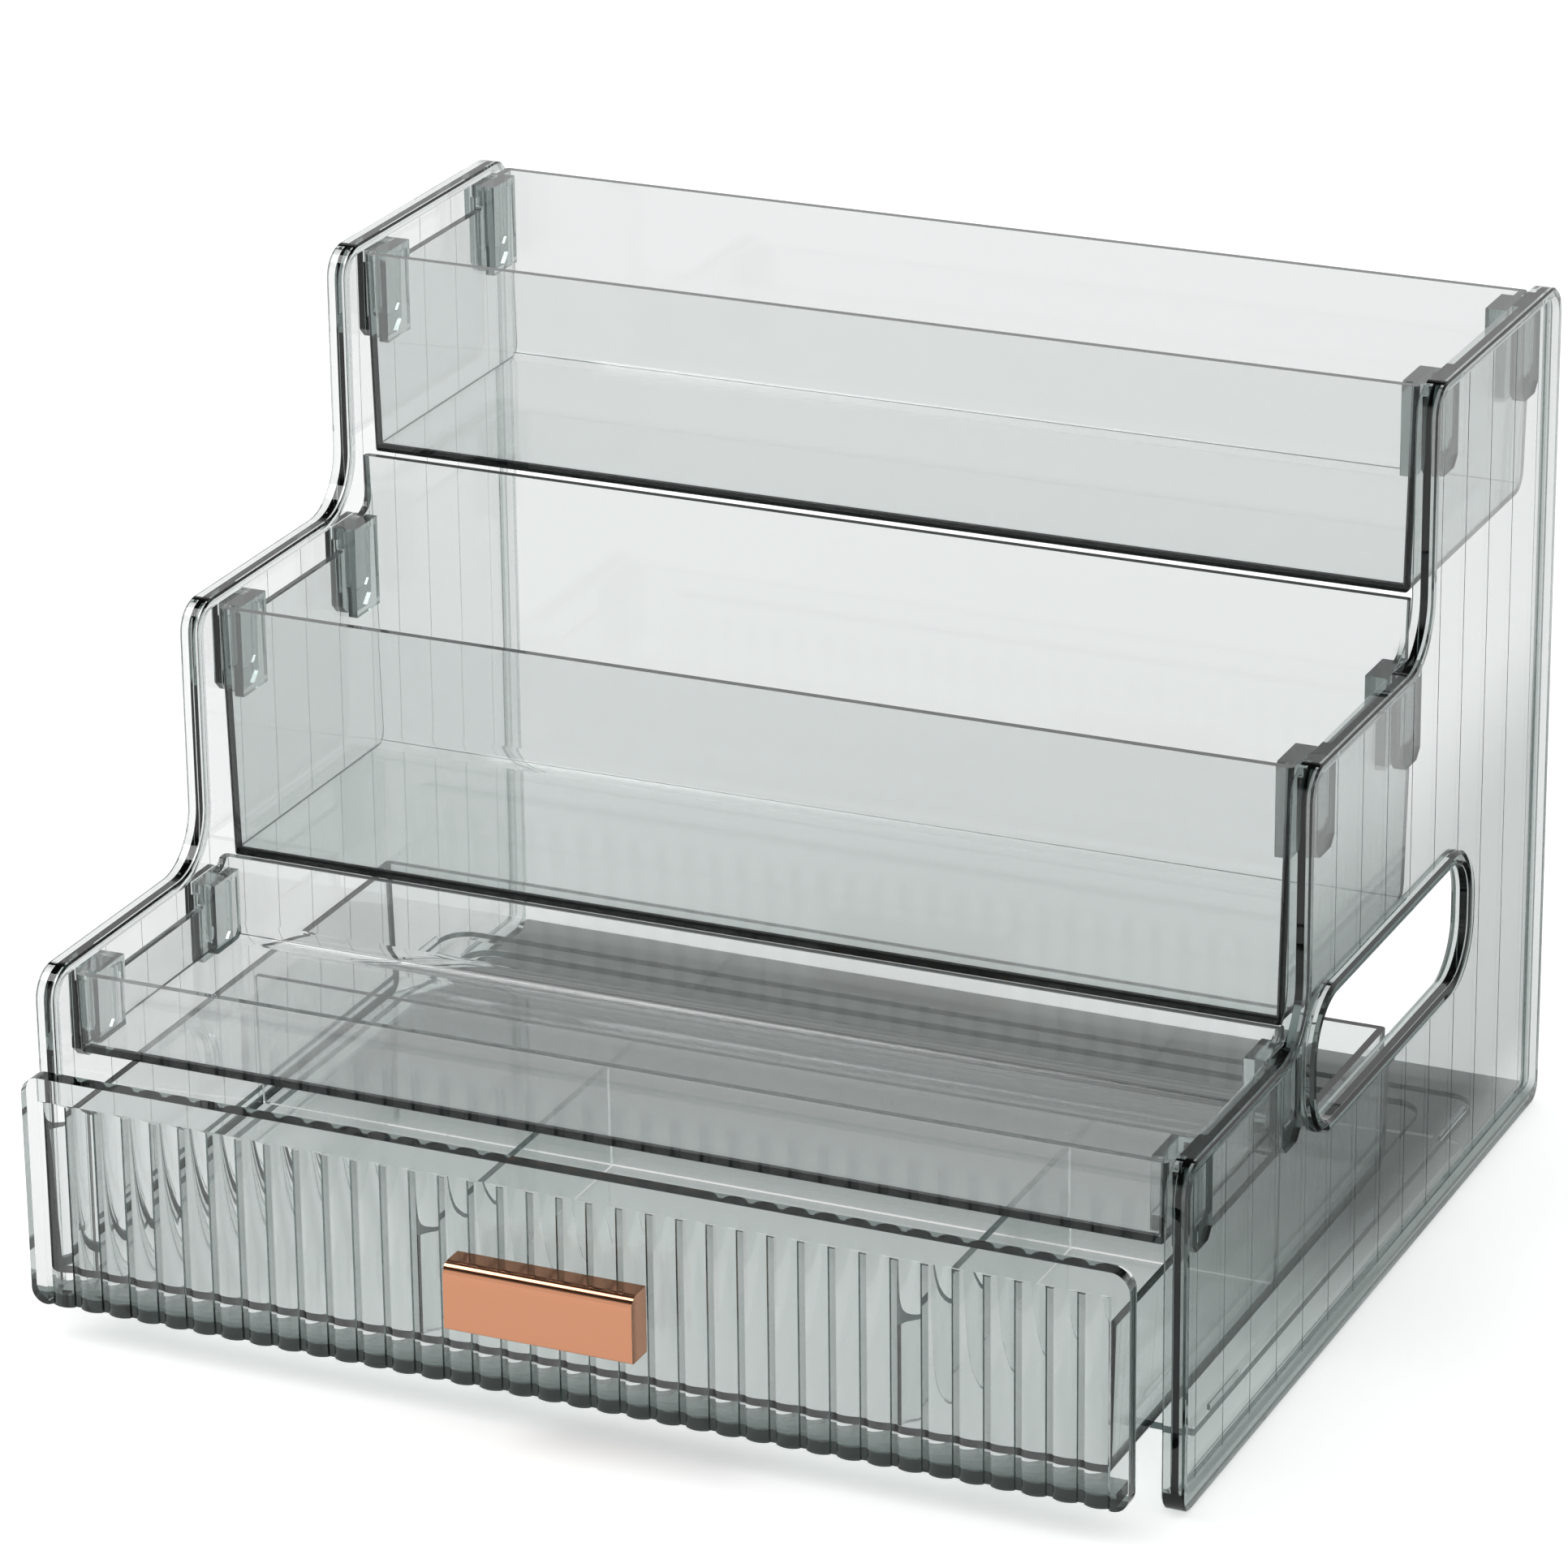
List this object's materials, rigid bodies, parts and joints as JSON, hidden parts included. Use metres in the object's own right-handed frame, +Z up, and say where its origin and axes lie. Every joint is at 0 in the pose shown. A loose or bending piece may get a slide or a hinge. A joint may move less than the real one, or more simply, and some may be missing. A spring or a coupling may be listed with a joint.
{
  "type": "makeup organizer with drawer",
  "caption": "Free-standing stepped organizer of clear smoke plastic, with open lift-off trays between side panels and a fluted drawer with a bar pull underneath.",
  "frame": {"origin": "on the standing surface, under the centre of the whole object with the drawer as pictured", "axes": "+Z up, -Y towards the drawer front, +X to the right as seen from the front"},
  "size_m": [0.3, 0.289, 0.224],
  "materials": {
    "smoke_plastic": "clear, polished",
    "rose_gold": "glossy plated",
    "screw_steel": "satin"
  },
  "bodies": {
    "frame": {"left_side_panel": "smoke_plastic", "right_side_panel": "smoke_plastic", "base_frame": "smoke_plastic"},
    "drawer": {"drawer_box": "smoke_plastic", "drawer_front": "smoke_plastic", "drawer_pull": "rose_gold", "pull_screws": "screw_steel", "left_divider": "smoke_plastic", "right_divider": "smoke_plastic", "cross_divider": "smoke_plastic"},
    "top_tray": {"top_tray": "smoke_plastic"},
    "middle_tray": {"middle_tray": "smoke_plastic"},
    "bottom_tray": {"bottom_tray": "smoke_plastic"}
  },
  "joints": [
    {"name": "drawer_slide", "type": "slide", "parent": "frame", "child": "drawer", "axis": [0, -1, 0], "range_m": [-0.02, 0.11]},
    {"name": "top_tray_lift", "type": "slide", "parent": "frame", "child": "top_tray", "axis": [0, 0, 1], "range_m": [0, 0.1]},
    {"name": "middle_tray_lift", "type": "slide", "parent": "frame", "child": "middle_tray", "axis": [0, 0, 1], "range_m": [0, 0.1]},
    {"name": "bottom_tray_lift", "type": "slide", "parent": "frame", "child": "bottom_tray", "axis": [0, 0, 1], "range_m": [0, 0.1]}
  ]
}
